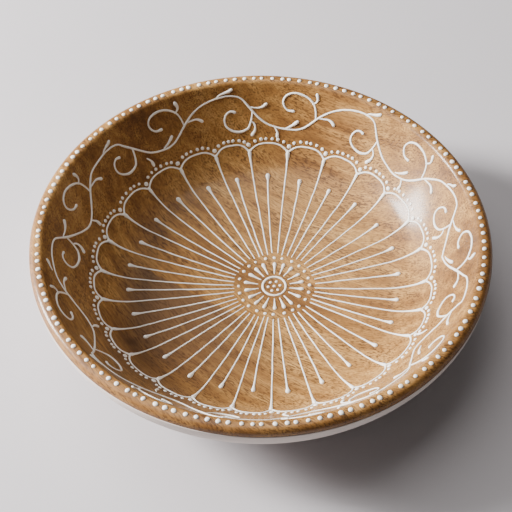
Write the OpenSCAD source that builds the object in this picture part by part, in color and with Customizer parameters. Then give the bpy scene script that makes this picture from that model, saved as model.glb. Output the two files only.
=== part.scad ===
// A turned wooden serving bowl, painted pale outside, with raised painted
// decoration on its lip and inside it: a flower of 26 petals, and a vine.
//
// Millimetres and degrees. The bowl stands on its foot at z = 0, its axis is Z,
// and angles are counted from +X towards +Y.
//
// "Run" is the distance along the inner surface from the middle of the hollow.
// "Slope" is the angle of that surface from level. The inner surface is three
// tangent arcs (floor, haunch and wall), so slope grows evenly along each.

/* [Bowl] */
// Diameter across the outside of the lip
bowl_d = 301; // [290:1:315]
// Height from the foot to the crest of the lip
bowl_h = 68; // [67:1:74]
// Depth of the hollow below the crest of the lip
hollow_depth = 57.5; // [56:0.5:58.5]
// Width of the lip, from the wall of the hollow to the outside
lip_w = 9.7; // [9.2:0.1:11]
// Diameter of the foot
foot_d = 120; // [110:2:130]
// Height of the foot
foot_h = 2; // [1.5:0.5:3]
// Width of the ring that the bowl stands on
foot_ring_w = 9; // [7:1:12]
// Depth of the recess inside that ring
recess_depth = 1.5; // [1:0.5:2]

/* [Curves] */
// Slope where the floor of the hollow turns into the haunch
floor_slope = 8; // [6:1:10]
// Slope where the haunch turns into the wall
wall_slope = 48; // [46:1:50]
// Slope where the wall meets the lip
lip_slope = 60.5; // [58:0.5:64]
// Radius of the wall's long curve
wall_r = 190; // [170:5:210]
// Radius of the lip's inner edge
lip_inner_r = 4; // [3:0.5:4.5]
// Radius of the lip's outer edge
lip_outer_r = 4.5; // [3.5:0.5:5]
// Radius of the outside just under the lip
side_r = 25; // [22:1:28]
// Slope of the outside where that curve ends
side_slope = 58; // [56:1:60]
// Slope of the outside where its lower flank starts
flank_slope = 20; // [18:1:22]
// Slope of the outside where it meets the foot
foot_slope = 8; // [7:1:9]

/* [Outer coat] */
// Height of bare wood between the crest of the lip and the painted coat
bare_h = 5.4; // [5:0.1:8]
// Thickness of the coat
coat_t = 0.25; // [0.2:0.05:0.4]

/* [Paint] */
// Width of a painted line
line_w = 1.2; // [1:0.1:1.6]
// Height of a line or drop as a share of its width
line_rise = 0.4; // [0.3:0.05:0.5]
// Height of a dot as a share of its diameter
dot_rise = 0.28; // [0.2:0.02:0.4]

/* [Lip dots] */
// Number of dots round the lip
lip_dots = 137; // [120:1:145]
// Diameter of a lip dot
lip_dot_d = 3; // [2.2:0.1:3.4]

/* [Flower] */
// Number of petals
petals = 26; // [20:1:28]
// Distance from the wall's upper edge down to the tips of the petals
flower_drop = 45.5; // [44:0.5:50]
// Distance that the flower's outline sits off centre
flower_shift = 3.5; // [0:0.5:4]
// Depth of the notch between two petals
notch = 6; // [4:0.5:7]
// Dots along the edge of each petal
edge_dots = 7; // [5:1:8]
// Diameter of a petal-edge dot
edge_dot_d = 2.3; // [1.5:0.1:2.4]
// Distance from a petal's tip to the head of its pin
pin_drop = 23.5; // [20:0.5:30]
// Width of a pin's head
pin_head_w = 3.2; // [2.6:0.1:4.2]

/* [Flower centre] */
// Distance of the flower's centre from the bowl's axis, along +X
hub_x = 9.3; // [0:0.1:10]
// Distance of the flower's centre from the bowl's axis, along +Y
hub_y = 1; // [0:0.1:4]
// Radius at which the long lines stop
hub_clear_r = 28; // [27:0.5:32]
// Dots round the centre
hub_dot_count = 24; // [18:1:26]
// Radius of the circle of dots
hub_dot_r = 24.3; // [23.5:0.1:25]
// Drops round the centre
hub_drop_count = 18; // [12:1:20]
// Radius of the painted ring
hub_ring_r = 7.9; // [7:0.1:8.5]

/* [Vine] */
// Number of times the vine's pattern repeats round the wall
vine_repeats = 9; // [8:1:9]
// Distance from the wall's upper edge down to the vine's low turns
vine_drop = 33.5; // [33:0.5:34.5]

/* [Hidden] */
$fn = 144;
degree = PI / 180;

// Hand-painted unevenness. Degrees that each petal's first edge is off its even
// place, degrees that each repeat's two branch points are off theirs, and
// millimetres that the stem's low and high turns are off theirs.
petal_drift = [
    0, -1, 0.5, 0, 0, 0, 0.5, -0.5, 0, 1, 2, 1.5, 1.5,
    0.5, 0.5, -0.5, 0, 0.5, 0.5, 0, 1, 1.5, 2, 3, 1, -0.5
];
rise_drift = [0, 0, 2, 3.5, 4, 6.5, 4.5, 4.5, 6];
fall_drift = [0, 1.5, 4.5, 4.5, 5, 5, 5, 5.5, 3];
low_drift = [0, 0.5, 2, 1.3, -1.5, -2.5, -1.5, -1.5, -3.5];
high_drift = [0, 1.5, 0.5, -2, -0.5, 0, 0, -4, 0.5];
function waver(n) = (sin(n * 97) + sin(n * 233 + 40)) / 2;

// Two tangent arcs that together span a width and a height, turning from slope a
// to slope b and on to slope c. Returns their radii.
function arc_w(a, b) = sin(b) - sin(a);
function arc_h(a, b) = cos(a) - cos(b);
function two_arcs(w, h, a, b, c) =
    let (det = arc_w(a, b) * arc_h(b, c) - arc_w(b, c) * arc_h(a, b))
    [
        (w * arc_h(b, c) - h * arc_w(b, c)) / det,
        (h * arc_w(a, b) - w * arc_h(a, b)) / det
    ];

// Inner surface, from the lip down to the middle
rim_r = bowl_d / 2;
wall_top_r = rim_r - lip_w;
wall_top_z = bowl_h - lip_inner_r * arc_h(0, lip_slope);
wall_foot_r = wall_top_r - wall_r * arc_w(wall_slope, lip_slope);
wall_foot_z = wall_top_z - wall_r * arc_h(wall_slope, lip_slope);
floor_z = bowl_h - hollow_depth;
inner_radii = two_arcs(wall_foot_r, wall_foot_z - floor_z, 0, floor_slope, wall_slope);
floor_r = inner_radii[0];
haunch_r = inner_radii[1];
floor_edge_r = floor_r * sin(floor_slope);
floor_edge_z = floor_z + floor_r * arc_h(0, floor_slope);
floor_run = floor_r * floor_slope * degree;
haunch_run = floor_run + haunch_r * (wall_slope - floor_slope) * degree;
wall_run = haunch_run + wall_r * (lip_slope - wall_slope) * degree;

function slope_at_run(run) =
    run < floor_run ? run / floor_r / degree
    : run < haunch_run ? floor_slope + (run - floor_run) / haunch_r / degree
    : wall_slope + (run - haunch_run) / wall_r / degree;
function slope_at_radius(r) =
    r < floor_edge_r ? asin(r / floor_r)
    : r < wall_foot_r ? asin(sin(floor_slope) + (r - floor_edge_r) / haunch_r)
    : asin(sin(wall_slope) + (r - wall_foot_r) / wall_r);
function radius_at_slope(a) =
    a < floor_slope ? floor_r * sin(a)
    : a < wall_slope ? floor_edge_r + haunch_r * arc_w(floor_slope, a)
    : wall_foot_r + wall_r * arc_w(wall_slope, a);
function height_at_slope(a) =
    a < floor_slope ? floor_z + floor_r * arc_h(0, a)
    : a < wall_slope ? floor_edge_z + haunch_r * arc_h(floor_slope, a)
    : wall_foot_z + wall_r * arc_h(wall_slope, a);

// Outer surface. Each arc is a list of points from one slope to another, starting
// at a point [r, z], and "out" moves the points away from the wood.
function arc_points(start, radius, a, b, steps, out = 0) = [
    for (k = [0:steps])
    let (s = a + (b - a) * k / steps)
    [
        start.x + radius * arc_w(a, s) + out * sin(s),
        start.y + radius * arc_h(a, s) - out * cos(s)
    ]
];
side_start = [rim_r - side_r * arc_w(side_slope, 90), bowl_h - bare_h - side_r * arc_h(side_slope, 90)];
foot_top = [foot_d / 2, foot_h];
outer_radii = two_arcs(
    side_start.x - foot_top.x, side_start.y - foot_top.y, foot_slope, flank_slope, side_slope
);
flank_end = foot_top
    + outer_radii[0] * [arc_w(foot_slope, flank_slope), arc_h(foot_slope, flank_slope)];
function outside(out) = concat(
    arc_points(foot_top, outer_radii[0], foot_slope, flank_slope, 6, out),
    arc_points(flank_end, outer_radii[1], flank_slope, side_slope, 12, out),
    arc_points(side_start, side_r, side_slope, 90, 8, out)
);
function backwards(list) = [for (k = [len(list) - 1:-1:0]) list[k]];

// Decoration bands
flower_run = wall_run - flower_drop;
vine_run = wall_run - vine_drop;
petal_step = 360 / petals;
vine_step = 360 / vine_repeats;
flower_lean = 50;
function petal_edge_angle(i) =
    let (turn = floor(i / petals), k = i - turn * petals)
    10.5 + petal_step * i + petal_drift[k % len(petal_drift)];
function petal_tip_run(angle) = flower_run + flower_shift * cos(angle - flower_lean);

// A point of the inner surface, and the direction straight out of the wood there
function plan(angle, run) =
    let (r = radius_at_slope(slope_at_run(run))) [r * cos(angle), r * sin(angle)];
function seat(p) = [p.x, p.y, height_at_slope(slope_at_radius(norm([p.x, p.y])))];
function off_wood(p) =
    let (r = norm([p.x, p.y]), a = slope_at_radius(r))
    [-sin(a) * p.x / r, -sin(a) * p.y / r, cos(a)];

// Smooth curve through points of any kind, with a number of steps between each two
function smooth(p, steps) = [
    for (i = [0:len(p) - 2], k = [0:steps - 1])
    let (
        t = k / steps,
        a = p[max(i - 1, 0)],
        b = p[i],
        c = p[i + 1],
        d = p[min(i + 2, len(p) - 1)]
    )
    (2 * b + (c - a) * t + (2 * a - 5 * b + 4 * c - d) * t * t + (3 * b - 3 * c + d - a) * t * t * t) / 2,
    p[len(p) - 1]
];

// A painted stroke is a list of [x, y, width]. Strokes on the wall are given as
// [angle, run, width] and turned into that.
function on_wall(points) = [
    for (q = points) let (p = plan(q.x, q.y)) [p.x, p.y, q.z]
];
function stroke_ring(stroke, i) =
    let (
        base = seat(stroke[i]),
        up = off_wood(stroke[i]),
        along = seat(stroke[min(i + 1, len(stroke) - 1)]) - seat(stroke[max(i - 1, 0)]),
        across = cross(up, along) / norm(cross(up, along)),
        w = stroke[i].z
    )
    [
        base - across * w * 0.5,
        base - across * w * 0.28 + up * w * line_rise,
        base + across * w * 0.28 + up * w * line_rise,
        base + across * w * 0.5
    ];

// All strokes of one kind: each is its own closed solid with four long sides
module strokes(list) {
    sides = 4;
    first = [for (k = 0, n = 0; k < len(list); n = n + sides * len(list[k]), k = k + 1) n];
    polyhedron(
        points = [for (s = list) for (i = [0:len(s) - 1]) each stroke_ring(s, i)],
        faces = [
            for (k = [0:len(list) - 1])
            let (n = first[k], last = first[k] + sides * (len(list[k]) - 1))
            each [
                [n + 3, n + 2, n + 1, n],
                [last, last + 1, last + 2, last + 3],
                for (i = [0:len(list[k]) - 2], j = [0:sides - 1])
                let (a = n + sides * i + j, b = n + sides * i + (j + 1) % sides)
                each [[a, b, b + sides], [a, b + sides, a + sides]]
            ]
        ]
    );
}

// All dots of one kind: six-sided domes, each its own closed solid, given as
// [middle of the base, direction off the wood, diameter]
function dot_on_bowl(p, d) = [seat(p), off_wood(p), d];
function dome_points(q) =
    let (
        up = q[1],
        u = cross(up, [1, 0, 0]) / norm(cross(up, [1, 0, 0])),
        v = cross(up, u),
        ring = [for (k = [0:5]) cos(60 * k) * u + sin(60 * k) * v],
        h = q[2] * dot_rise
    )
    [
        for (c = ring) q[0] + c * q[2] / 2,
        for (c = ring) q[0] + c * q[2] * 0.36 + up * h * 0.7,
        q[0] + up * h
    ];
module dots(list) {
    size = 13;
    polyhedron(
        points = [for (q = list) each dome_points(q)],
        faces = [
            for (n = [0:len(list) - 1])
            let (b = n * size)
            each [
                [for (k = [0:5]) b + k],
                for (k = [0:5])
                let (j = (k + 1) % 6)
                each [
                    [b + j, b + k, b + k + 6],
                    [b + j, b + k + 6, b + j + 6],
                    [b + j + 6, b + k + 6, b + 12]
                ]
            ]
        ]
    );
}

module bowl_body() {
    crest_in = rim_r - lip_w + lip_inner_r * sin(lip_slope);
    inner = concat(
        arc_points([0, floor_z], floor_r, 0, floor_slope, 5),
        arc_points([floor_edge_r, floor_edge_z], haunch_r, floor_slope, wall_slope, 14),
        arc_points([wall_foot_r, wall_foot_z], wall_r, wall_slope, lip_slope, 8)
    );
    lip = concat(
        [for (k = [1:6]) let (s = lip_slope * (1 - k / 6))
            [crest_in - lip_inner_r * sin(s), bowl_h - lip_inner_r * arc_h(0, s)]],
        [for (k = [0:6]) let (s = 90 * k / 6)
            [rim_r - lip_outer_r * (1 - sin(s)), bowl_h - lip_outer_r * arc_h(0, s)]]
    );
    foot = [
        [foot_d / 2, foot_h],
        [foot_d / 2 - 0.5, 0.5],
        [foot_d / 2 - 1, 0],
        [foot_d / 2 - foot_ring_w, 0],
        [foot_d / 2 - foot_ring_w - recess_depth, recess_depth],
        [0, recess_depth]
    ];
    color("peru")
    rotate_extrude()
    polygon(concat(drop_repeats(inner), lip, backwards(drop_repeats(outside(0))), tail(foot)));
}

// A list of points without the ones that repeat the point before, and a list
// without its first point
function drop_repeats(list) = [
    for (k = [0:len(list) - 1]) if (k == 0 || norm(list[k] - list[max(k - 1, 0)]) > 0.001) list[k]
];
function tail(list) = [for (k = [1:len(list) - 1]) list[k]];

module outer_coat() {
    skin = drop_repeats(outside(coat_t));
    wood = drop_repeats(outside(0));
    color("gainsboro")
    rotate_extrude()
    polygon(concat(skin, backwards(wood)));
}

// Dots on the crest of the lip, unevenly spaced and sized
module lip_dots_row() {
    crest_r = rim_r - 5.6;
    color("white")
    dots([
        for (i = [0:lip_dots - 1])
        let (angle = 360 / lip_dots * (i + 0.17 * waver(i)))
        [
            [crest_r * cos(angle), crest_r * sin(angle), bowl_h],
            [0, 0, 1],
            lip_dot_d * (1 + 0.14 * waver(i * 3 + 1))
        ]
    ]);
}

// The vine. Each repeat starts at a low turn of the stem, rises through a first
// branch point to a high turn, and falls through a second one to the next low turn.
function branch(drift, start, i) =
    let (turn = floor(i / vine_repeats), k = i - turn * vine_repeats)
    (start + drift[k]) * vine_step / 40 + vine_step * i;
function rise_at(i) = branch(rise_drift, 10.5, i);
function fall_at(i) = branch(fall_drift, 30.5, i);
function low_at(i) = (fall_at(i - 1) + rise_at(i)) / 2;
function low_run(i) = vine_run + low_drift[i % vine_repeats];
function high_at(i) = rise_at(i) + 0.38 * (fall_at(i) - rise_at(i));
function high_run(i) = vine_run + 26 + high_drift[i];

// A stroke given as offsets [angle, run above the low turns, width] from an angle
function vine_stroke(angle, offsets, size = 1) = [
    for (q = offsets) [angle + q.x * size, vine_run + offsets[0].y + (q.y - offsets[0].y) * size, q.z]
];

module vine_stem() {
    w = line_w * 1.1;
    color("white")
    strokes([
        for (i = [0:vine_repeats - 1])
        on_wall(smooth([
            [low_at(i) + 0.1, low_run(i), w],
            [rise_at(i) - 4.5, vine_run + 4.5, w],
            [rise_at(i), vine_run + 13.5, w * 1.3],
            [rise_at(i) + 2.6, high_run(i) - 4.5, w],
            [high_at(i) - 3.8, high_run(i) - 1.2, w],
            [high_at(i), high_run(i), w],
            [high_at(i) + 5, high_run(i) - 2.2, w],
            [fall_at(i) - 4, vine_run + 20, w],
            [fall_at(i), vine_run + 12, w * 1.3],
            [fall_at(i) + 4.5, vine_run + 2.5, w],
            [low_at(i + 1) - 0.1, low_run(i + 1), w]
        ], 2))
    ]);
}

module vine_lower_scrolls() {
    sizes = [0.85, 0.95, 1, 0.95, 1, 1, 1, 1.05, 0.9];
    color("white")
    strokes([
        for (i = [0:vine_repeats - 1])
        on_wall(smooth(vine_stroke(rise_at(i), [
            [0.9, 10.5, 1.2], [0.9, 5.5, 1.4], [1.9, 1.4, 1.6], [4.4, -0.5, 1.8],
            [7, 0.8, 1.5], [8.9, 4.5, 1.4], [9.2, 9, 1.3], [8.4, 13, 1.3],
            [7, 14.7, 1.4], [5.8, 14, 2]
        ], sizes[i]), 2))
    ]);
}

module vine_upper_scrolls() {
    color("white")
    strokes([
        for (i = [0:vine_repeats - 1])
        on_wall(smooth(vine_stroke(fall_at(i), [
            [0.75, 14, 1.2], [0.7, 17.5, 1.3], [1.6, 22.8, 1.4], [4, 26.9, 1.5],
            [7.2, 28.6, 1.5], [9.8, 26.8, 1.4], [11, 22.5, 1.3], [10.6, 18.5, 1.3],
            [9.3, 15.7, 1.3], [7.6, 15.4, 2]
        ]), 2))
    ]);
}

// Leaves: one kind after another, each with the repeats of the vine that carry it
module vine_leaves() {
    crest_tip = [1.3, -5.8, -2.3, -2, 5, -2, -2, -2];
    crest_root = [3, -2.5, 1.5, 1, 6.5, 1, 1, 1];
    hanging = [[1, -5], [2, 2], [3, 5.5], [4, -3.5], [5, -1.5], [6, -8.5], [7, -8], [8, 6]];
    color("white")
    strokes([
        for (i = [0:7])
        let (q = high_at(i), h = high_run(i) - vine_run)
        on_wall(vine_stroke(q, [
            [crest_root[i], h + 1, 1],
            [crest_root[i] * 0.7 + crest_tip[i] * 0.3, h + 1.8, 1.5],
            [crest_tip[i] * 0.8 + crest_root[i] * 0.2, h + 3, 2.3],
            [crest_tip[i], h + 4, 1.4]
        ])),
        for (i = [0, 2, 4, 5, 7, 8])
        on_wall(vine_stroke(rise_at(i), [
            [-1, 16.4, 1], [-2, 16.4, 1.4], [-3.2, 17.2, 1.9], [-4, 18.6, 2.3], [-4.4, 19.4, 1.3]
        ])),
        for (i = [0, 1, 2, 4, 7])
        on_wall(vine_stroke(rise_at(i), [
            [-0.3, 5, 1], [-0.7, 2.6, 1.4], [-0.5, -0.4, 2], [0.2, -2.5, 2.4], [0.5, -3.6, 1.3]
        ])),
        for (i = [0:8])
        on_wall(vine_stroke(fall_at(i), [
            [1.1, 23.8, 1], [0.6, 25.4, 1.5], [0.6, 27.6, 2.1], [0.9, 29, 2.3], [1, 30, 1.3]
        ])),
        for (i = [0, 1, 2, 3, 4, 7, 8])
        on_wall(vine_stroke(fall_at(i), [
            [-2.6, 14, 1], [-3.9, 14.2, 1.4], [-5, 13.4, 1.9], [-5.8, 12.2, 2.3], [-6.1, 11.3, 1.3]
        ])),
        for (i = [0, 1, 2, 3, 8])
        on_wall(vine_stroke(low_at(i), [
            [-1.4, 3, 1], [-2.4, 4.2, 1.6], [-3.6, 6.2, 2.4], [-4.3, 8.2, 1.4]
        ])),
        for (k = hanging)
        let (h = low_drift[k[0]], a = low_at(k[0]) + k[1])
        on_wall(vine_stroke(a, [
            [0.4, h - 1.3, 1], [0, h - 2.8, 1.6], [-0.1, h - 4.6, 2.4], [-0.1, h - 6, 1.3]
        ]))
    ]);
}

// Petals: the arch of petal i runs from edge i to edge i + 1
function arch_run(i, u, low, high) =
    let (angle = petal_edge_angle(i) * (1 - u) + petal_edge_angle(i + 1) * u)
    petal_tip_run(angle) + high - (high + low) * pow(abs(2 * u - 1), 3);

module petal_arches() {
    clear = 1.1;
    color("white")
    strokes([
        for (i = [0:petals - 1])
        let (a = petal_edge_angle(i) + clear, b = petal_edge_angle(i + 1) - clear)
        on_wall([
            for (u = [0, 0.06, 0.14, 0.24, 0.37, 0.5, 0.63, 0.76, 0.86, 0.94, 1])
            let (angle = a + (b - a) * u, v = 0.08 + 0.84 * u)
            [angle, arch_run(i, v, notch, 0), line_w]
        ])
    ]);
}

// Dots follow the arches a little outside them, with larger ones at the notches
module petal_edge_dots() {
    gap = 3.2;
    color("white")
    dots([
        for (i = [0:petals - 1], k = [0:edge_dots - 1])
        let (
            n = i * edge_dots + k,
            u = (k + 0.15 * waver(n)) / edge_dots,
            angle = petal_edge_angle(i) * (1 - u) + petal_edge_angle(i + 1) * u,
            d = edge_dot_d * (1 + (k == 0 ? 0.35 : 0.1 * waver(n + 5)))
        )
        dot_on_bowl(plan(angle, arch_run(i, u, 1.3, gap)), d)
    ]);
}

// A straight stroke in plan from the flower's centre to an end point, with a slight
// bow. Widths are given as [distance from the end, width].
hub = [hub_x, hub_y];
function spoke(end, widths, n) =
    let (
        away = (end - hub) / norm(end - hub),
        start = hub + away * (hub_clear_r + waver(n)),
        l = norm(end - start)
    )
    [
        for (q = widths)
        let (
            t = max(0, 1 - q.x / l),
            p = start + (end - start) * t + [-away.y, away.x] * waver(n + 11) * sin(180 * t)
        )
        [p.x, p.y, q.y]
    ];

module petal_lines() {
    color("white")
    strokes([
        for (i = [0:petals - 1])
        let (a = petal_edge_angle(i))
        spoke(plan(a, petal_tip_run(a) - notch), [
            [999, 0.7], [60, 1.1], [36, 1.1], [20, 1.2], [11, 1.3], [5, 1.7], [0.8, 3.2], [-0.6, 2.6]
        ], i)
    ]);
}

module petal_pins() {
    color("white")
    strokes([
        for (i = [0:petals - 1])
        let (a = (petal_edge_angle(i) + petal_edge_angle(i + 1)) / 2)
        spoke(plan(a, petal_tip_run(a) - pin_drop + 1.5 * waver(i)), [
            [999, 0.7], [40, 1.1], [20, 1.2], [7, 1.6], [4.2, 2.4],
            [2.6, pin_head_w * 0.9], [1.6, pin_head_w], [0.6, pin_head_w * 0.8], [0, pin_head_w * 0.4]
        ], i + 40)
    ]);
}

// Centre of the flower
function round_hub(angle, r) = hub + r * [cos(angle), sin(angle)];

module hub_dots() {
    color("white")
    dots([
        for (i = [0:hub_dot_count - 1])
        let (angle = 360 / hub_dot_count * (i + 0.12 * waver(i)))
        dot_on_bowl(round_hub(angle, hub_dot_r), 2.3)
    ]);
}

module hub_drops() {
    profile = [[11, 0.8], [14, 1.1], [16.6, 1.7], [18.4, 2.5], [19.6, 2.3], [20.2, 1.2]];
    color("white")
    strokes([
        for (i = [0:hub_drop_count - 1])
        let (angle = 360 / hub_drop_count * (i + 0.5 + 0.1 * waver(i + 3)))
        [
            for (q = profile)
            let (p = round_hub(angle, q.x + 0.4 * waver(i)))
            [p.x, p.y, q.y]
        ]
    ]);
}

module hub_ring() {
    w = 1.6;
    h = w * line_rise;
    color("white")
    translate(seat(hub))
    rotate([0, 0, atan2(hub_y, hub_x)])
    rotate([0, -slope_at_radius(norm(hub)), 0])
    rotate_extrude()
    translate([hub_ring_r, 0])
    polygon([[-w / 2, 0], [w / 2, 0], [w * 0.36, h * 0.7], [0, h], [-w * 0.36, h * 0.7]]);
}

module hub_seeds() {
    color("white")
    dots([
        dot_on_bowl(hub, 2.1),
        for (i = [0:5]) dot_on_bowl(round_hub(60 * i + 8, 4.1), 2)
    ]);
}

bowl_body();
outer_coat();
lip_dots_row();
vine_stem();
vine_lower_scrolls();
vine_upper_scrolls();
vine_leaves();
petal_edge_dots();
petal_arches();
petal_lines();
petal_pins();
hub_dots();
hub_drops();
hub_ring();
hub_seeds();
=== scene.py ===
"""A turned wooden serving bowl with raised hand-painted decoration.

The bowl's curves and the places of the paint follow the CAD model's own rules, so each
detailed piece here lies where the CAD node that it replaces lies. Lengths in the layout
are millimetres and angles are degrees, as in the CAD model; meshes are in metres.
"""
from math import asin, cos, degrees, hypot, radians, sin

import bmesh
import bpy
from mathutils import Matrix, Vector, noise


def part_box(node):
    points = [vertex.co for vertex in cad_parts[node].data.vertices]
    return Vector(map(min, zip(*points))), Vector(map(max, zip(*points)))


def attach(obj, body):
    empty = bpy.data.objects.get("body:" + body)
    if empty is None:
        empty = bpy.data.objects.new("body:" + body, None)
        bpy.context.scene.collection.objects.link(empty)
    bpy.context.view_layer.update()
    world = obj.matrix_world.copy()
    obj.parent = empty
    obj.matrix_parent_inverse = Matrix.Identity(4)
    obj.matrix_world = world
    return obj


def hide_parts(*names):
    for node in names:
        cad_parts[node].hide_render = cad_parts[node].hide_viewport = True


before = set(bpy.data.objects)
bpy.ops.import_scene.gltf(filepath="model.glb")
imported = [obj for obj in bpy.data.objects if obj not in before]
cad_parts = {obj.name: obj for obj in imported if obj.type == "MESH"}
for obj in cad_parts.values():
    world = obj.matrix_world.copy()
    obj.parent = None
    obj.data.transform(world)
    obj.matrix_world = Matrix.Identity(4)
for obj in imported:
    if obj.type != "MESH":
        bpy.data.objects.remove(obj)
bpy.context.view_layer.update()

MM = 0.001


def sind(a):
    return sin(radians(a))


def cosd(a):
    return cos(radians(a))


# ---------------------------------------------------------------- the bowl's curves

LIP_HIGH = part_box("bowl_body")[1]
RIM_R = LIP_HIGH[0] / MM
BOWL_H = LIP_HIGH[2] / MM
HOLLOW_DEPTH = 57.5
LIP_W = 9.7
FOOT_R = 60.0
FOOT_H = 2.0
FOOT_RING_W = 9.0
RECESS = 1.5
BARE_H = 5.4
COAT_T = 0.25
FLOOR_SLOPE, WALL_SLOPE, LIP_SLOPE = 8.0, 48.0, 60.5
WALL_R = 190.0
LIP_INNER_R, LIP_OUTER_R = 4.0, 4.5
SIDE_R, SIDE_SLOPE, FLANK_SLOPE, FOOT_SLOPE = 25.0, 58.0, 20.0, 8.0

# how many steps each arc is cut into, and the turned surfaces all round
FLOOR_STEPS, HAUNCH_STEPS, WALL_STEPS = 30, 30, 24
FLANK_STEPS, KEEL_STEPS, SIDE_STEPS = 14, 28, 14
LIP_INNER_STEPS, LIP_OUTER_STEPS = 10, 12
TURNED_SIDES = 360


def arc_w(a, b):
    """Width that an arc of radius 1 spans between slopes a and b."""
    return sind(b) - sind(a)


def arc_h(a, b):
    """Height that an arc of radius 1 climbs between slopes a and b."""
    return cosd(a) - cosd(b)


def two_arcs(w, h, a, b, c):
    """Radii of two tangent arcs that span w by h, from slope a through b to c."""
    det = arc_w(a, b) * arc_h(b, c) - arc_w(b, c) * arc_h(a, b)
    first = (w * arc_h(b, c) - h * arc_w(b, c)) / det
    second = (h * arc_w(a, b) - w * arc_h(a, b)) / det
    return first, second


WALL_TOP_R = RIM_R - LIP_W
WALL_TOP_Z = BOWL_H - LIP_INNER_R * arc_h(0, LIP_SLOPE)
WALL_FOOT_R = WALL_TOP_R - WALL_R * arc_w(WALL_SLOPE, LIP_SLOPE)
WALL_FOOT_Z = WALL_TOP_Z - WALL_R * arc_h(WALL_SLOPE, LIP_SLOPE)
FLOOR_Z = BOWL_H - HOLLOW_DEPTH
FLOOR_R, HAUNCH_R = two_arcs(WALL_FOOT_R, WALL_FOOT_Z - FLOOR_Z, 0, FLOOR_SLOPE, WALL_SLOPE)
FLOOR_EDGE_R = FLOOR_R * sind(FLOOR_SLOPE)
FLOOR_EDGE_Z = FLOOR_Z + FLOOR_R * arc_h(0, FLOOR_SLOPE)
FLOOR_RUN = FLOOR_R * radians(FLOOR_SLOPE)
HAUNCH_RUN = FLOOR_RUN + HAUNCH_R * radians(WALL_SLOPE - FLOOR_SLOPE)
WALL_RUN = HAUNCH_RUN + WALL_R * radians(LIP_SLOPE - WALL_SLOPE)


# A place on the inner surface is named by its run, which is the length along the surface
# from the middle of the floor, by its radius, or by the surface's slope there.


def slope_at_run(run):
    if run < FLOOR_RUN:
        return degrees(run / FLOOR_R)
    if run < HAUNCH_RUN:
        return FLOOR_SLOPE + degrees((run - FLOOR_RUN) / HAUNCH_R)
    return WALL_SLOPE + degrees((run - HAUNCH_RUN) / WALL_R)


def slope_at_radius(r):
    if r < FLOOR_EDGE_R:
        return degrees(asin(r / FLOOR_R))
    if r < WALL_FOOT_R:
        return degrees(asin(sind(FLOOR_SLOPE) + (r - FLOOR_EDGE_R) / HAUNCH_R))
    return degrees(asin(sind(WALL_SLOPE) + (r - WALL_FOOT_R) / WALL_R))


def radius_at_slope(a):
    if a < FLOOR_SLOPE:
        return FLOOR_R * sind(a)
    if a < WALL_SLOPE:
        return FLOOR_EDGE_R + HAUNCH_R * arc_w(FLOOR_SLOPE, a)
    return WALL_FOOT_R + WALL_R * arc_w(WALL_SLOPE, a)


def height_at_slope(a):
    if a < FLOOR_SLOPE:
        return FLOOR_Z + FLOOR_R * arc_h(0, a)
    if a < WALL_SLOPE:
        return FLOOR_EDGE_Z + HAUNCH_R * arc_h(FLOOR_SLOPE, a)
    return WALL_FOOT_Z + WALL_R * arc_h(WALL_SLOPE, a)


def arc_points(start, radius, a, b, steps, out=0.0):
    """Points (r, z) along an arc from slope a to slope b, each moved out square to it."""
    points = []
    for k in range(steps + 1):
        s = a + (b - a) * k / steps
        r = start[0] + radius * arc_w(a, s) + out * sind(s)
        z = start[1] + radius * arc_h(a, s) - out * cosd(s)
        points.append((r, z))
    return points


SIDE_START = (
    RIM_R - SIDE_R * arc_w(SIDE_SLOPE, 90),
    BOWL_H - BARE_H - SIDE_R * arc_h(SIDE_SLOPE, 90),
)
FLANK_R, KEEL_R = two_arcs(
    SIDE_START[0] - FOOT_R, SIDE_START[1] - FOOT_H, FOOT_SLOPE, FLANK_SLOPE, SIDE_SLOPE
)
FLANK_END = (
    FOOT_R + FLANK_R * arc_w(FOOT_SLOPE, FLANK_SLOPE),
    FOOT_H + FLANK_R * arc_h(FOOT_SLOPE, FLANK_SLOPE),
)


def outside(out):
    """The outer profile from the foot up to where the bare lip starts."""
    flank = arc_points((FOOT_R, FOOT_H), FLANK_R, FOOT_SLOPE, FLANK_SLOPE, FLANK_STEPS, out)
    keel = arc_points(FLANK_END, KEEL_R, FLANK_SLOPE, SIDE_SLOPE, KEEL_STEPS, out)
    side = arc_points(SIDE_START, SIDE_R, SIDE_SLOPE, 90, SIDE_STEPS, out)
    return flank + keel[1:] + side[1:]


def inside():
    """The inner profile from the middle of the floor up to where the lip starts."""
    floor_edge = (FLOOR_EDGE_R, FLOOR_EDGE_Z)
    wall_foot = (WALL_FOOT_R, WALL_FOOT_Z)
    dish = arc_points((0, FLOOR_Z), FLOOR_R, 0, FLOOR_SLOPE, FLOOR_STEPS)
    haunch = arc_points(floor_edge, HAUNCH_R, FLOOR_SLOPE, WALL_SLOPE, HAUNCH_STEPS)
    wall = arc_points(wall_foot, WALL_R, WALL_SLOPE, LIP_SLOPE, WALL_STEPS)
    return dish + haunch[1:] + wall[1:]


# ---------------------------------------------------------------- mesh helpers


def add_object(name, verts, faces):
    """A smooth-shaded object that rides on the part's one body, from millimetres."""
    mesh = bpy.data.meshes.new(name)
    mesh.from_pydata([Vector(v) * MM for v in verts], [], faces)
    mesh.validate()
    obj = bpy.data.objects.new(name, mesh)
    bpy.context.scene.collection.objects.link(obj)
    mesh.polygons.foreach_set("use_smooth", [True] * len(mesh.polygons))
    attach(obj, "root")
    return obj


def face_outwards(obj):
    bm = bmesh.new()
    bm.from_mesh(obj.data)
    bmesh.ops.recalc_face_normals(bm, faces=bm.faces)
    bm.to_mesh(obj.data)
    bm.free()


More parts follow.
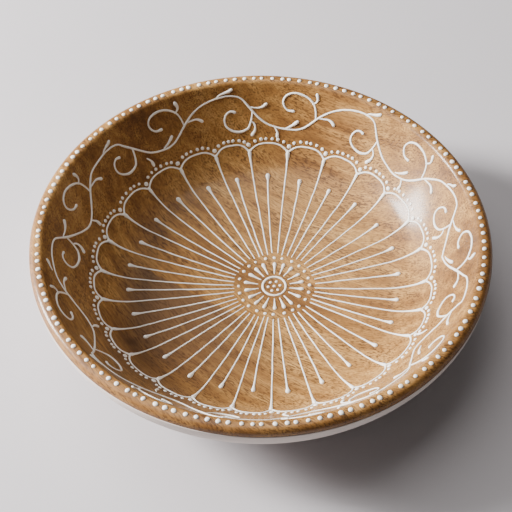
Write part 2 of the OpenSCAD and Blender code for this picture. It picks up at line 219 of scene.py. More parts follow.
def lathe(name, profile, closed=False):
    """Turn a profile of (r, z) about Z. A point on the axis becomes one vertex."""
    sides = TURNED_SIDES
    verts, rows = [], []
    for r, z in profile:
        if r < 1e-6:
            rows.append([len(verts)])
            verts.append((0, 0, z))
        else:
            rows.append([len(verts) + k for k in range(sides)])
            turns = [360 * k / sides for k in range(sides)]
            verts += [(r * cosd(turn), r * sind(turn), z) for turn in turns]
    faces = []
    pairs = list(zip(rows, rows[1:]))
    if closed:
        pairs.append((rows[-1], rows[0]))
    for a, b in pairs:
        for k in range(sides):
            j = (k + 1) % sides
            if len(a) == 1 and len(b) > 1:
                faces.append((a[0], b[k], b[j]))
            elif len(b) == 1 and len(a) > 1:
                faces.append((a[j], a[k], b[0]))
            elif len(a) > 1:
                faces.append((a[k], b[k], b[j], a[j]))
    obj = add_object(name, verts, faces)
    face_outwards(obj)
    return obj


# ---------------------------------------------------------------- where the paint goes

LINE_W = 1.2

# height as a share of a line's width or of a dot's diameter
LINE_RISE = 0.4
DOT_RISE = 0.26

# names in _RUN are lengths along the inner surface, _R are radii, _D diameters, _W widths
LIP_DOTS, LIP_DOT_D, LIP_DOT_IN = 137, 3.0, 5.6
PETALS, FIRST_PETAL, NOTCH = 26, 10.5, 6.0
EDGE_DOTS, EDGE_DOT_D, EDGE_DOT_GAP = 7, 2.35, 3.2
FLOWER_RUN = WALL_RUN - 45.5
FLOWER_SHIFT, FLOWER_LEAN = 3.5, 50
PIN_DROP, PIN_HEAD_W = 23.5, 3.1
HUB = Vector((9.3, 1.0))
HUB_CLEAR_R, AT_HUB = 28.0, 999
HUB_DROPS, HUB_RING_R, HUB_RING_W = 18, 7.9, 1.6
HUB_DOTS, HUB_DOT_R, HUB_DOT_D = 24, 24.3, 2.3
HUB_SEEDS, HUB_SEED_R, HUB_SEED_D, HUB_MIDDLE_SEED_D = 6, 4.1, 2.0, 2.1
REPEATS = 9
FIRST_RISE, FIRST_FALL = 10.5, 30.5
VINE_RUN = WALL_RUN - 33.5
VINE_H, CREST_SHARE = 26, 0.38

# how far the hand strayed from even spacing: degrees for each petal edge and for each
# rise and fall of the vine, millimetres for its low and high turns
PETAL_DRIFT = [
    0, -1, 0.5, 0, 0, 0, 0.5, -0.5, 0, 1, 2, 1.5, 1.5,
    0.5, 0.5, -0.5, 0, 0.5, 0.5, 0, 1, 1.5, 2, 3, 1, -0.5,
]
RISE_DRIFT = [0, 0, 2, 3.5, 4, 6.5, 4.5, 4.5, 6]
FALL_DRIFT = [0, 1.5, 4.5, 4.5, 5, 5, 5, 5.5, 3]
LOW_DRIFT = [0, 0.5, 2, 1.3, -1.5, -2.5, -1.5, -1.5, -3.5]
HIGH_DRIFT = [0, 1.5, 0.5, -2, -0.5, 0, 0, -4, 0.5]


def waver(n):
    """A number from -1 to 1 that differs from one n to the next, the same in every run."""
    return (sind(n * 97) + sind(n * 233 + 40)) / 2


def petal_edge_angle(i):
    return FIRST_PETAL + 360 / PETALS * i + PETAL_DRIFT[i % PETALS]


def petal_tip_run(angle):
    return FLOWER_RUN + FLOWER_SHIFT * cosd(angle - FLOWER_LEAN)


def plan(angle, run):
    """The place (x, y) at an angle and a run."""
    r = radius_at_slope(slope_at_run(run))
    return Vector((r * cosd(angle), r * sind(angle)))


def seat(p):
    """The point of the wood's surface at (x, y)."""
    return Vector((p[0], p[1], height_at_slope(slope_at_radius(hypot(p[0], p[1])))))


def off_wood(p):
    """The direction square to the wood's surface at (x, y)."""
    r = max(hypot(p[0], p[1]), 1e-6)
    a = slope_at_radius(r)
    return Vector((-sind(a) * p[0] / r, -sind(a) * p[1] / r, cosd(a)))


def smooth(points, steps):
    """Points along a smooth curve through the given ones (Catmull-Rom)."""
    out = []
    last = len(points) - 1
    for i in range(last):
        a, b = Vector(points[max(i - 1, 0)]), Vector(points[i])
        c, d = Vector(points[i + 1]), Vector(points[min(i + 2, last)])
        for k in range(steps):
            t = k / steps
            out.append(
                (2 * b + (c - a) * t + (2 * a - 5 * b + 4 * c - d) * t * t
                 + (3 * b - 3 * c + d - a) * t * t * t) / 2
            )
    out.append(Vector(points[-1]))
    return out


def soften(points, reach):
    """Each point moved to the mean of its neighbours, so that corners turn round."""
    out = []
    for i in range(len(points)):
        r = min(reach, i, len(points) - 1 - i)
        near = points[i - r:i + r + 1]
        out.append(sum(near, Vector((0, 0, 0))) / len(near))
    return out


def on_wall(points):
    """Turn [angle, run, width] into [x, y, width]."""
    out = []
    for angle, run, width in points:
        p = plan(angle, run)
        out.append(Vector((p.x, p.y, width)))
    return out


# ---------------------------------------------------------------- paint as geometry

# points across a bead of paint, and how deep it starts below the wood's surface
SECTION = 9
SINK = 0.06

# how far a hand's line wanders, and its share of swelling, over long and short stretches
TREMOR_FAR, TREMOR_NEAR = 0.22, 0.06
SWELL_FAR, SWELL_NEAR = 0.16, 0.14

# rings that close the end of a stroke, and the degrees between them
TIP_RINGS, TIP_TURN = 3, 29


def even(stroke, step):
    """The stroke again, with points an even distance apart."""
    flat = [Vector((p.x, p.y)) for p in stroke]
    runs = [0.0]
    for a, b in zip(flat, flat[1:]):
        runs.append(runs[-1] + (b - a).length)
    count = max(int(runs[-1] / step), 3)
    out, i = [], 0
    for k in range(count + 1):
        want = runs[-1] * k / count
        while i < len(runs) - 2 and runs[i + 1] < want:
            i += 1
        span = max(runs[i + 1] - runs[i], 1e-9)
        out.append(stroke[i].lerp(stroke[i + 1], (want - runs[i]) / span))
    return out


def hand(stroke, seed):
    """Uneven pressure and a slight tremor, as a hand leaves them."""
    out = []
    for i, p in enumerate(stroke):
        a = stroke[max(i - 1, 0)]
        b = stroke[min(i + 1, len(stroke) - 1)]
        side = Vector((-(b - a).y, (b - a).x)).normalized()
        far = noise.noise(Vector((p.x * 0.11, p.y * 0.11, seed * 3.7)))
        near = noise.noise(Vector((p.x * 0.45, p.y * 0.45, seed * 1.3 + 50)))
        move = side * (TREMOR_FAR * far + TREMOR_NEAR * near)
        width = p.z * (1 + SWELL_FAR * far + SWELL_NEAR * near)
        out.append(Vector((p.x + move.x, p.y + move.y, width)))
    return out


def rounded(stroke):
    """The stroke with a few more rings past each end, closing to a round tip."""
    def tip(end, inner):
        away = Vector((end.x - inner.x, end.y - inner.y)).normalized()
        rings = []
        for k in range(1, TIP_RINGS + 1):
            turn = k * TIP_TURN
            reach = end.z / 2 * sind(turn)
            ring = (end.x + away.x * reach, end.y + away.y * reach, end.z * cosd(turn))
            rings.append(Vector(ring))
        return rings

    return tip(stroke[0], stroke[1])[::-1] + list(stroke) + tip(stroke[-1], stroke[-2])


def stroke_object(name, strokes, nodes, step=0.9):
    """Strokes of [x, y, width] as one object of closed, domed beads of paint."""
    verts, faces = [], []
    for n, stroke in enumerate(strokes):
        path = rounded(hand(even(stroke, step), n))
        first = len(verts)
        for i, p in enumerate(path):
            along = seat(path[min(i + 1, len(path) - 1)]) - seat(path[max(i - 1, 0)])
            up = off_wood(p)
            across = up.cross(along).normalized()
            base = seat(p) - up * SINK
            for j in range(SECTION):
                turn = 180 * j / (SECTION - 1)
                aside = across * (p.z / 2 * cosd(turn))
                verts.append(base - aside + up * (p.z * LINE_RISE * sind(turn)))
        rows = len(path)
        for i in range(rows - 1):
            a = first + i * SECTION
            for j in range(SECTION):
                k = (j + 1) % SECTION
                faces.append((a + j, a + k, a + SECTION + k, a + SECTION + j))
        faces.append(tuple(first + j for j in range(SECTION)))
        faces.append(tuple(first + (rows - 1) * SECTION + j for j in reversed(range(SECTION))))
    obj = add_object(name, verts, faces)
    face_outwards(obj)
    finish_paint(obj, nodes)


def dot_object(name, seats, nodes):
    """Domed dots of paint, each given as (middle of its base, direction up, diameter)."""
    around, levels = 20, 6
    verts, faces = [], []
    for n, (base, up, d) in enumerate(seats):
        u = up.orthogonal().normalized()
        v = up.cross(u)
        first = len(verts)
        stretch = 1 + 0.09 * waver(n * 7 + 2)
        for k in range(levels):
            turn = 90 * k / levels
            reach = d / 2 * cosd(turn) ** 0.7
            lift = d * DOT_RISE * sind(turn) - SINK
            for j in range(around):
                a = 360 * j / around
                wobble = 1 + 0.035 * noise.noise(Vector((cosd(a) * 1.3, sind(a) * 1.3, n * 2.17)))
                side = u * (cosd(a) * reach * stretch) + v * (sind(a) * reach / stretch)
                verts.append(base + side * wobble + up * lift)
        top = len(verts)
        verts.append(base + up * (d * DOT_RISE - SINK))
        for k in range(levels - 1):
            for j in range(around):
                a = first + k * around + j
                b = first + k * around + (j + 1) % around
                faces.append((a, b, b + around, a + around))
        ring = first + (levels - 1) * around
        for j in range(around):
            faces.append((ring + j, ring + (j + 1) % around, top))
        faces.append(tuple(first + j for j in reversed(range(around))))
    obj = add_object(name, verts, faces)
    face_outwards(obj)
    finish_paint(obj, nodes)


def finish_paint(obj, nodes):
    obj.data.materials.append(paint_material())
    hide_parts(*nodes)


# ---------------------------------------------------------------- materials


class Shader:
    """Short names for building a node tree."""

    def __init__(self, name):
        self.material = bpy.data.materials.new(name)
        self.material.use_nodes = True
        self.tree = self.material.node_tree
        self.bsdf = self.tree.nodes["Principled BSDF"]

    def node(self, kind, values=None, **settings):
        n = self.tree.nodes.new(kind)
        for key, value in settings.items():
            setattr(n, key, value)
        for key, value in (values or {}).items():
            if hasattr(value, "is_linked"):
                self.tree.links.new(value, n.inputs[key])
            else:
                n.inputs[key].default_value = value
        return n

    def math(self, operation, a, b=0.0):
        return self.node("ShaderNodeMath", {0: a, 1: b}, operation=operation).outputs[0]

    def add(self, a, b):
        return self.math("ADD", a, b)

    def times(self, a, b):
        return self.math("MULTIPLY", a, b)

    def length(self, a, b):
        return self.math("SQRT", self.add(self.times(a, a), self.times(b, b)))

    def mapped(self, vector, scale, location=(0, 0, 0)):
        values = {"Vector": vector, "Location": location, "Scale": scale}
        return self.node("ShaderNodeMapping", values).outputs[0]

    def noise(self, vector, scale, detail=3.0, roughness=0.5):
        values = {"Vector": vector, "Scale": scale, "Detail": detail, "Roughness": roughness}
        return self.node("ShaderNodeTexNoise", values).outputs[0]

    def ramp(self, fac, stops):
        n = self.node("ShaderNodeValToRGB", {"Fac": fac})
        while len(n.color_ramp.elements) < len(stops):
            n.color_ramp.elements.new(0.5)
        for element, (place, colour) in zip(n.color_ramp.elements, stops):
            element.position = place
            element.color = (*colour, 1)
        return n.outputs[0]

    def grey_ramp(self, fac, low, high, a=0.0, b=1.0):
        """From a at low to b at high, and level beyond them."""
        values = {"Value": fac, "From Min": low, "From Max": high, "To Min": a, "To Max": b}
        return self.node("ShaderNodeMapRange", values, clamp=True).outputs[0]

    def mix(self, fac, a, b):
        """Blend two colours: inputs 6 and 7 and output 2 are the node's colour sockets."""
        n = self.node("ShaderNodeMix", data_type="RGBA")
        for socket, value in ((n.inputs[0], fac), (n.inputs[6], a), (n.inputs[7], b)):
            if hasattr(value, "is_linked"):
                self.tree.links.new(value, socket)
            else:
                socket.default_value = value if not isinstance(value, tuple) else (*value, 1)
        return n.outputs[2]

    def bump(self, height, strength, distance):
        values = {"Height": height, "Strength": strength, "Distance": distance}
        return self.node("ShaderNodeBump", values).outputs[0]

    def set(self, **values):
        """Set or link the main shader's inputs, each named with _ for a space."""
        for key, value in values.items():
            socket = self.bsdf.inputs[key.replace("_", " ")]
            if hasattr(value, "is_linked"):
                self.tree.links.new(value, socket)
            else:
                socket.default_value = value


WOOD_TONES = [
    (0.34, (0.105, 0.044, 0.012)),
    (0.42, (0.226, 0.101, 0.025)),
    (0.50, (0.366, 0.182, 0.048)),
    (0.57, (0.488, 0.262, 0.076)),
    (0.68, (0.600, 0.350, 0.120)),
]
DARK_RING = (0.21, 0.10, 0.028)
DARK_THREAD = (0.16, 0.074, 0.021)
HEARTWOOD = (0.125, 0.066, 0.030)
KNOT = (0.060, 0.026, 0.009)
LIP_STAIN = (0.20, 0.082, 0.018)
PORE = (0.070, 0.029, 0.009)


def wood_material():
    """Lacquered wood whose grain runs across the bowl. Places here are in metres."""
    s = Shader("mango_wood")
    place = s.node("ShaderNodeTexCoord").outputs["Object"]
    parts = s.node("ShaderNodeSeparateXYZ", {0: place})
    x, y, z = parts.outputs

    # the grain runs slantwise, bends a little and sways
    bend = s.times(s.times(x, x), -2.6)
    across = s.add(s.add(y, s.times(x, 0.72)), bend)
    sway = s.noise(s.mapped(place, scale=(9, 14, 14)), 1.0, 2.0)
    across = s.add(across, s.times(s.math("SUBTRACT", sway, 0.5), 0.022))
    grain = s.node("ShaderNodeCombineXYZ", {0: x, 1: across, 2: z}).outputs[0]

    # growth rings: distance from a pith line that runs along the grain under the bowl
    pith = s.length(across, s.add(z, 0.04))
    rings = s.grey_ramp(s.math("SINE", s.times(pith, 1100)), -1, 1)

    # long streaks, threads and short dark pores, all drawn out along the grain
    streaks = s.noise(s.mapped(grain, scale=(10, 120, 120)), 1.0, 6.0, 0.62)
    threads = s.noise(s.mapped(grain, scale=(60, 1000, 1000)), 1.0, 3.0, 0.6)
    blotch = s.noise(s.mapped(grain, scale=(9, 16, 16)), 1.0, 3.0, 0.55)
    pore_field = s.noise(s.mapped(grain, scale=(290, 980, 980)), 1.0, 2.0, 0.55)
    pore_places = s.noise(s.mapped(grain, scale=(24, 70, 70)), 1.0, 2.0)
    crowding = s.grey_ramp(pore_places, 0.35, 0.6, 0.45, 1.0)
    pores = s.times(s.grey_ramp(pore_field, 0.51, 0.58), crowding)

    tone = s.add(s.times(streaks, 0.55), s.times(blotch, 0.45))
    colour = s.ramp(tone, WOOD_TONES)
    colour = s.mix(s.times(rings, 0.20), colour, DARK_RING)
    colour = s.mix(s.grey_ramp(threads, 0.38, 0.62, 0.0, 0.5), colour, DARK_THREAD)

    # a darker board of heartwood left of the flower's centre, with a sharp edge along the grain
    edge = s.add(s.add(y, 0.0332), s.times(x, 0.576))
    ragged = s.noise(s.mapped(grain, scale=(20, 260, 260)), 1.0, 3.0)
    edge = s.add(edge, s.times(s.math("SUBTRACT", ragged, 0.5), 0.005))
    below = s.grey_ramp(edge, -0.0012, 0.0004, 1.0, 0.0)
    near = s.grey_ramp(y, -0.10, -0.02, 0.25, 1.0)
    left = s.times(s.grey_ramp(x, -0.03, 0.03, 1.0, 0.0), s.grey_ramp(x, -0.100, -0.078))
    heart = s.times(below, s.times(near, left))
    colour = s.mix(s.times(heart, 0.86), colour, HEARTWOOD)

    # one small dark knot in the lower left of the floor
    spot = s.mapped(place, scale=(157, 200, 0), location=(13.2, 10.4, 0))
    reach = s.node("ShaderNodeVectorMath", {0: spot}, operation="LENGTH").outputs[1]
    knot = s.grey_ramp(reach, 0.25, 1.0, 1.0, 0.0)
    colour = s.mix(s.times(knot, 0.75), colour, KNOT)

    # the rounded lip is cut across the grain and takes more of the stain
    lip = s.grey_ramp(s.length(x, y), 0.1445, 0.1485)
    colour = s.mix(s.times(lip, 0.42), colour, LIP_STAIN)
    colour = s.mix(s.times(pores, 0.82), colour, PORE)

    height = s.math("SUBTRACT", s.times(streaks, 0.5), pores)
    s.set(
        Base_Color=colour,
        Roughness=s.grey_ramp(streaks, 0.3, 0.7, 0.46, 0.58),
        Specular_IOR_Level=0.22,
        Normal=s.bump(height, 0.35, 0.00015),
        Coat_Weight=0.30,
        Coat_Roughness=0.17,
    )
    return s.material


def paint_material():
    """Thick off-white paint, shared by all strokes and dots."""
    name = "raised_paint"
    if name in bpy.data.materials:
        return bpy.data.materials[name]
    s = Shader(name)
    place = s.node("ShaderNodeTexCoord").outputs["Object"]
    cloud = s.noise(place, 55, 3.0)
    fine = s.noise(place, 1500, 3.0, 0.6)
    colour = s.mix(s.grey_ramp(cloud, 0.3, 0.7), (0.86, 0.84, 0.79), (0.92, 0.905, 0.86))
    s.set(
        Base_Color=colour,
        Roughness=s.grey_ramp(fine, 0.3, 0.7, 0.42, 0.56),
        Normal=s.bump(fine, 0.25, 0.00012),
    )
    return s.material


def coat_material():
    """The pale coat outside, brushed round the bowl, with a few specks of wood."""
    s = Shader("outer_paint")
    place = s.node("ShaderNodeTexCoord").outputs["Object"]
    cloud = s.noise(place, 28, 4.0)
    brush = s.noise(s.mapped(place, scale=(40, 40, 1400)), 1.0, 4.0, 0.6)
    speck = s.grey_ramp(s.noise(place, 900, 2.0), 0.70, 0.76)
    colour = s.mix(s.grey_ramp(cloud, 0.3, 0.7), (0.62, 0.54, 0.49), (0.69, 0.61, 0.56))
    colour = s.mix(s.times(speck, 0.35), colour, (0.46, 0.36, 0.27))
    s.set(
        Base_Color=colour,
        Roughness=s.grey_ramp(brush, 0.3, 0.7, 0.5, 0.66),
        Normal=s.bump(brush, 0.22, 0.0003),
    )
    return s.material


# ---------------------------------------------------------------- wood and coat


def lip_profile():
    """The rounded lip, from the wall over the crest to the bare side."""
    crest_in = RIM_R - LIP_W + LIP_INNER_R * sind(LIP_SLOPE)
    profile = []
    for k in range(1, LIP_INNER_STEPS + 1):
        a = LIP_SLOPE * (1 - k / LIP_INNER_STEPS)
        profile.append((crest_in - LIP_INNER_R * sind(a), BOWL_H - LIP_INNER_R * arc_h(0, a)))
    for k in range(0, LIP_OUTER_STEPS + 1):
        a = 90 * k / LIP_OUTER_STEPS
        profile.append((RIM_R - LIP_OUTER_R * (1 - sind(a)), BOWL_H - LIP_OUTER_R * arc_h(0, a)))
    return profile


def foot_profile():
    """The foot ring with its softened edges, and the shallow recess inside it."""
    ring_in = FOOT_R - FOOT_RING_W
    return [
        (FOOT_R - 0.1, FOOT_H * 0.7),
        (FOOT_R - 0.3, FOOT_H * 0.4),
        (FOOT_R - 0.6, 0.15),
        (FOOT_R - 1.0, 0.0),
        (FOOT_R - 4.5, 0.0),
        (ring_in + 0.4, 0.0),
        (ring_in, 0.15),
        (ring_in - 0.8, RECESS * 0.6),
        (ring_in - RECESS, RECESS),
        (ring_in * 0.5, RECESS),
        (0, RECESS),
    ]


def build_bowl():
    obj = lathe("wooden_bowl", inside() + lip_profile() + outside(0)[::-1] + foot_profile())
    obj.data.materials.append(wood_material())
    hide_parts("bowl_body")


def build_coat():
    off_the_wood = 0.02
    obj = lathe("painted_outside", outside(COAT_T) + outside(off_the_wood)[::-1], closed=True)
    obj.data.materials.append(coat_material())
    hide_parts("outer_coat")


# ---------------------------------------------------------------- lip and vine


def lip_dots():
    crest_r = RIM_R - LIP_DOT_IN
    seats = []
    for i in range(LIP_DOTS):
        angle = 360 / LIP_DOTS * (i + 0.17 * waver(i))
        base = Vector((crest_r * cosd(angle), crest_r * sind(angle), BOWL_H))
        seats.append((base, Vector((0, 0, 1)), LIP_DOT_D * (1 + 0.14 * waver(i * 3 + 1))))
    dot_object("lip_dots", seats, ["lip_dots_row"])


def branch(drift, start, i):
    return start + drift[i % REPEATS] + 360 / REPEATS * i


# The vine climbs at each rise_at angle and comes down at each fall_at angle, with a high
# turn between them and a low turn before the next climb.


def rise_at(i):
    return branch(RISE_DRIFT, FIRST_RISE, i)


def fall_at(i):
    return branch(FALL_DRIFT, FIRST_FALL, i)


def low_at(i):
    return (fall_at(i - 1) + rise_at(i)) / 2


def low_run(i):
    return VINE_RUN + LOW_DRIFT[i % REPEATS]


def high_at(i):
    return rise_at(i) + CREST_SHARE * (fall_at(i) - rise_at(i))


def high_run(i):
    return VINE_RUN + VINE_H + HIGH_DRIFT[i]


def vine_stroke(angle, offsets, size=1.0):
    """Offsets of (degrees, height above the low turns, width) laid out from an angle."""
    start = offsets[0][1]
    return [(angle + a * size, VINE_RUN + start + (h - start) * size, w) for a, h, w in offsets]


def vine_stem():
    """One stroke all round: each turn goes from low up the climb, over high and down the fall."""
    w = LINE_W * 1.1
    turns = []
    for i in range(REPEATS):
        turns += [
            (low_at(i), low_run(i), w),
            (rise_at(i) - 4.5, VINE_RUN + 4.5, w),
            (rise_at(i), VINE_RUN + 13.5, w * 1.3),
            (rise_at(i) + 2.6, high_run(i) - 4.5, w),
            (high_at(i) - 3.8, high_run(i) - 1.2, w),
            (high_at(i), high_run(i), w),
            (high_at(i) + 5, high_run(i) - 2.2, w),
            (fall_at(i) - 4, VINE_RUN + 20, w),
            (fall_at(i), VINE_RUN + 12, w * 1.3),
            (fall_at(i) + 4.5, VINE_RUN + 2.5, w),
        ]
    turns.append((low_at(REPEATS), low_run(0), w))
    stroke_object("vine_stem_line", [on_wall(soften(smooth(turns, 8), 4))], ["vine_stem"])


# scrolls as offsets for vine_stroke, from the stem to the curled-in end
LOWER_SCROLL = [
    (0.1, 12.5, 1.3), (0.3, 9.5, 1.3), (0.8, 5.5, 1.4), (1.9, 1.4, 1.6), (4.4, -0.5, 1.9),
    (7, 0.8, 1.6), (8.9, 4.5, 1.4), (9.2, 9, 1.3), (8.4, 13, 1.3), (7, 14.7, 1.5), (5.8, 14, 2.1),
]
LOWER_SIZES = [0.85, 0.95, 1, 0.95, 1, 1, 1, 1.05, 0.9]
UPPER_SCROLL = [
    (0.1, 12.5, 1.3), (0.3, 15, 1.3), (0.6, 18, 1.4), (1.6, 22.8, 1.5), (4, 26.9, 1.6),
    (7.2, 28.6, 1.6), (9.8, 26.8, 1.5), (11, 22.5, 1.4), (10.6, 18.5, 1.4), (9.3, 15.7, 1.5),
    (7.6, 15.4, 2.2),
]


def vine_scrolls():
    lower, upper = [], []
    for i in range(REPEATS):
        hanging = vine_stroke(rise_at(i), LOWER_SCROLL, LOWER_SIZES[i])
        standing = vine_stroke(fall_at(i), UPPER_SCROLL)
        lower.append(on_wall(smooth(hanging, 8)))
        upper.append(on_wall(smooth(standing, 8)))
    stroke_object("lower_scrolls", lower, ["vine_lower_scrolls"])
    stroke_object("upper_scrolls", upper, ["vine_upper_scrolls"])


def vine_leaves():
    """Leaves and buds. Not every turn of the vine has one of each kind."""
    leaves = []

    # leaves that stand on the high turns, each from its root to its tip
    crest_tip = [1.3, -5.8, -2.3, -2, 5, -2, -2, -2]
    crest_root = [3, -2.5, 1.5, 1, 6.5, 1, 1, 1]
    for i, (tip, root) in enumerate(zip(crest_tip, crest_root)):
        h = high_run(i) - VINE_RUN
        leaves.append((high_at(i), [
            (root + 0.6, h - 0.2, 1), (root, h + 1, 1.2), (root * 0.7 + tip * 0.3, h + 1.8, 1.5),
            (tip * 0.8 + root * 0.2, h + 3, 2.3), (tip, h + 4, 2.2),
        ]))

    # leaves that branch off near the top of a climb, and buds that hang from its foot
    for i in (0, 2, 4, 5, 7, 8):
        leaves.append((rise_at(i), [
            (0.5, 16.6, 1), (-1, 16.2, 1.2), (-2, 16.4, 1.4), (-3.2, 17.2, 1.9), (-4.2, 19, 2.4),
        ]))
    for i in (0, 1, 2, 4, 7):
        leaves.append((rise_at(i), [
            (0.6, 7, 1), (-0.3, 5, 1.2), (-0.7, 2.6, 1.4), (-0.5, -0.4, 2), (0.3, -3, 2.5),
        ]))

    # buds on the shoulders of the standing scrolls, and leaves that branch off a fall
    for i in range(REPEATS):
        leaves.append((fall_at(i), [
            (1.9, 22.8, 1), (1.1, 23.8, 1.2), (0.6, 25.4, 1.5), (0.6, 27.6, 2.1), (0.9, 29.4, 2.4),
        ]))
    for i in (0, 1, 2, 3, 4, 7, 8):
        leaves.append((fall_at(i), [
            (-1, 13.6, 1), (-2.6, 14, 1.2), (-3.9, 14.2, 1.4), (-5, 13.4, 1.9), (-5.9, 11.8, 2.4),
        ]))

    # leaves above the low turns, and leaves that hang below them at their own angles
    for i in (0, 1, 2, 3, 8):
        leaves.append((low_at(i), [
            (-0.6, 2.4, 0.8), (-1.4, 3, 1.2), (-2.4, 4.2, 1.7), (-3.6, 6.2, 2.3), (-4.3, 7.8, 2.4),
        ]))
    hanging_at = [(1, -5), (2, 2), (3, 5.5), (4, -3.5), (5, -1.5), (6, -8.5), (7, -8), (8, 6)]
    for i, at in hanging_at:
        h = LOW_DRIFT[i]
        leaves.append((low_at(i) + at, [
            (0.9, h + 0.3, 1), (0.4, h - 1.3, 1.2), (0, h - 2.8, 1.6), (-0.1, h - 4.6, 2.3),
            (-0.1, h - 5.6, 2.3),
        ]))
    strokes = [on_wall(smooth(vine_stroke(angle, offsets), 6)) for angle, offsets in leaves]
    stroke_object("leaves_and_buds", strokes, ["vine_leaves"], step=0.6)


# ---------------------------------------------------------------- flower


def arch_run(angle, u, low, high):
    """The run of an arch at share u of a petal's width, from -low at its ends to +high between."""
    return petal_tip_run(angle) + high - (high + low) * abs(2 * u - 1) ** 3


def petal_arches():
    steps = 24
    arches = []
    for i in range(PETALS):
        a, b = petal_edge_angle(i), petal_edge_angle(i + 1)
        points = []
        for k in range(steps + 1):
            u = k / steps
            angle = a + (b - a) * u
            width = LINE_W * (1 + 0.5 * abs(2 * u - 1) ** 8)
            points.append((angle, arch_run(angle, u, NOTCH, 0), width))
        arches.append(on_wall(points))
    stroke_object("petal_outlines", arches, ["petal_arches"])


def on_bowl(p, d):
    """A dot of diameter d at (x, y), as dot_object takes it."""
    return (seat(p), off_wood(p), d)


def petal_edge_dots():
    """Dots that follow the arches, with a bigger one over each notch."""
    seats = []
    for i in range(PETALS):
        for k in range(EDGE_DOTS):
            n = i * EDGE_DOTS + k
            u = (k + 0.15 * waver(n)) / EDGE_DOTS
            angle = petal_edge_angle(i) * (1 - u) + petal_edge_angle(i + 1) * u
            d = EDGE_DOT_D * (1 + (0.35 if k == 0 else 0.1 * waver(n + 5)))
            p = plan(angle, arch_run(angle, u, 1.3, EDGE_DOT_GAP))
            seats.append(on_bowl(p, d))
    dot_object("petal_dots", seats, ["petal_edge_dots"])


def spoke(end, widths, n):
    """A slightly bowed stroke from the hub to its end.

    Widths are (distance back from the end, width). AT_HUB is further back than any spoke
    is long, so it stands for the spoke's start.
    """
    away = (end - HUB).normalized()
    start = HUB + away * (HUB_CLEAR_R + waver(n))
    length = (end - start).length
    side = Vector((-away.y, away.x))
    points = []
    for back, width in widths:
        t = max(0.0, 1 - back / length)
        p = start + (end - start) * t + side * (waver(n + 11) * sind(180 * t))
        points.append(Vector((p.x, p.y, width)))
    return smooth(points, 8)


def petal_lines():
    widths = [
        (AT_HUB, 0.7), (70, 0.9), (54, 0.95), (38, 0.95), (26, 0.95), (18, 1.0),
        (11, 1.15), (6, 1.5), (3, 2.0), (0.6, 2.9), (-0.4, 2.2),
    ]
    lines = []
    for i in range(PETALS):
        a = petal_edge_angle(i)
        lines.append(spoke(plan(a, petal_tip_run(a) - NOTCH), widths, i))
    stroke_object("petal_dividers", lines, ["petal_lines"])


def petal_pins():
    widths = [
        (AT_HUB, 0.7), (52, 0.95), (38, 0.95), (24, 1.0), (12, 1.1), (7, 1.3), (4.6, 1.8),
        (3, PIN_HEAD_W * 0.82), (1.7, PIN_HEAD_W),
    ]
    pins = []
    for i in range(PETALS):
        a = (petal_edge_angle(i) + petal_edge_angle(i + 1)) / 2
        end = plan(a, petal_tip_run(a) - PIN_DROP + 1.5 * waver(i))
        pins.append(spoke(end, widths, i + 40))
    stroke_object("pins", pins, ["petal_pins"], step=0.7)


def round_hub(angle, r):
    return HUB + r * Vector((cosd(angle), sind(angle)))


def flower_centre():
    """The ring of dots, the seeds, the drops and the ring round the flower's middle."""
    angles = [360 / HUB_DOTS * (i + 0.12 * waver(i)) for i in range(HUB_DOTS)]
    dots = [on_bowl(round_hub(a, HUB_DOT_R), HUB_DOT_D * (1 + 0.12 * waver(a))) for a in angles]
    dot_object("centre_dots", dots, ["hub_dots"])
    seeds = [on_bowl(HUB, HUB_MIDDLE_SEED_D)]
    for i in range(HUB_SEEDS):
        seeds.append(on_bowl(round_hub(60 * i + 8, HUB_SEED_R), HUB_SEED_D))
    dot_object("centre_seeds", seeds, ["hub_seeds"])
    profile = [(11, 0.8), (14, 1.1), (16.6, 1.7), (18.4, 2.5), (19.3, 2.5)]
    drops = []
    for i in range(HUB_DROPS):
        angle = 360 / HUB_DROPS * (i + 0.5 + 0.1 * waver(i + 3))
        points = []
        for r, w in profile:
            p = round_hub(angle, r + 0.4 * waver(i))
            points.append(Vector((p.x, p.y, w)))
        drops.append(smooth(points, 6))
    stroke_object("centre_drops", drops, ["hub_drops"], step=0.5)

    # the ring is one stroke whose two ends meet
    start, step, points_round = 20, 5, 72
    ring = []
    for k in range(points_round + 1):
        p = round_hub(step * k + start, HUB_RING_R)
        ring.append(Vector((p.x, p.y, HUB_RING_W)))
    stroke_object("centre_ring", [ring], ["hub_ring"], step=0.6)


# ---------------------------------------------------------------- studio


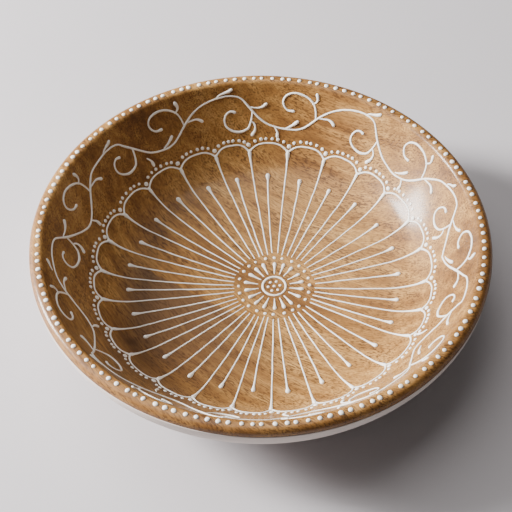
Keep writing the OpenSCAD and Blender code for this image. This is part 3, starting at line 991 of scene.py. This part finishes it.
def studio_floor():
    mesh = bpy.data.meshes.new("floor")
    half = 6.0
    corners = [(-half, -half, 0), (half, -half, 0), (half, half, 0), (-half, half, 0)]
    mesh.from_pydata(corners, [], [(0, 1, 2, 3)])
    obj = bpy.data.objects.new("floor", mesh)
    bpy.context.scene.collection.objects.link(obj)
    s = Shader("pale_floor")
    place = s.node("ShaderNodeTexCoord").outputs["Object"]
    cloud = s.noise(place, 3, 3.0)
    s.set(
        Base_Color=s.mix(s.grey_ramp(cloud, 0.3, 0.7), (0.50, 0.482, 0.502), (0.52, 0.502, 0.522)),
        Roughness=0.5,
    )
    mesh.materials.append(s.material)


def area(name, place, aim, size, power, colour):
    data = bpy.data.lights.new(name, "AREA")
    data.shape = "RECTANGLE"
    data.size, data.size_y = size
    data.energy = power
    data.color = colour
    obj = bpy.data.objects.new(name, data)
    obj.location = place
    obj.rotation_euler = (Vector(aim) - Vector(place)).to_track_quat("-Z", "Y").to_euler()
    bpy.context.scene.collection.objects.link(obj)


def studio_lights():
    """A window low on the left, soft light from above, and a little from all round."""
    area("window", (-1.68, 0.33, 0.84), (0, 0, 0.04), (0.42, 0.8), 178, (1.0, 0.972, 0.955))
    area("ceiling", (-0.7, 0.7, 2.5), (0, 0, 0), (2.2, 2.2), 44, (1.0, 0.97, 0.95))
    world = bpy.data.worlds.new("studio")
    world.use_nodes = True
    back = world.node_tree.nodes["Background"]
    back.inputs[0].default_value = (1.0, 0.96, 0.93, 1)
    back.inputs[1].default_value = 0.11
    bpy.context.scene.world = world


def camera():
    """Looks down from in front, 50 degrees above the lip's plane, nearly at its middle."""
    distance, rise, extra_tilt, turn = 0.8836, 50.222, 0.948, -0.193
    centre = Vector((0, 0, BOWL_H * MM))
    place = centre + distance * Vector((0, -cosd(rise), sind(rise)))
    ahead = Vector((0, cosd(rise + extra_tilt), -sind(rise + extra_tilt)))
    right = Vector((1, 0, 0))
    up = right.cross(ahead)
    ahead, right = (
        ahead * cosd(turn) + right * sind(turn),
        right * cosd(turn) - ahead * sind(turn),
    )
    data = bpy.data.cameras.new("camera")
    data.sensor_width = 36
    data.lens = 95.47
    obj = bpy.data.objects.new("camera", data)
    turned = Matrix((right, up, -ahead)).transposed().to_4x4()
    obj.matrix_world = Matrix.Translation(place) @ turned
    bpy.context.scene.collection.objects.link(obj)
    bpy.context.scene.camera = obj


camera()
studio_floor()
studio_lights()
build_bowl()
build_coat()
lip_dots()
vine_stem()
vine_scrolls()
vine_leaves()
petal_arches()
petal_edge_dots()
petal_lines()
petal_pins()
flower_centre()
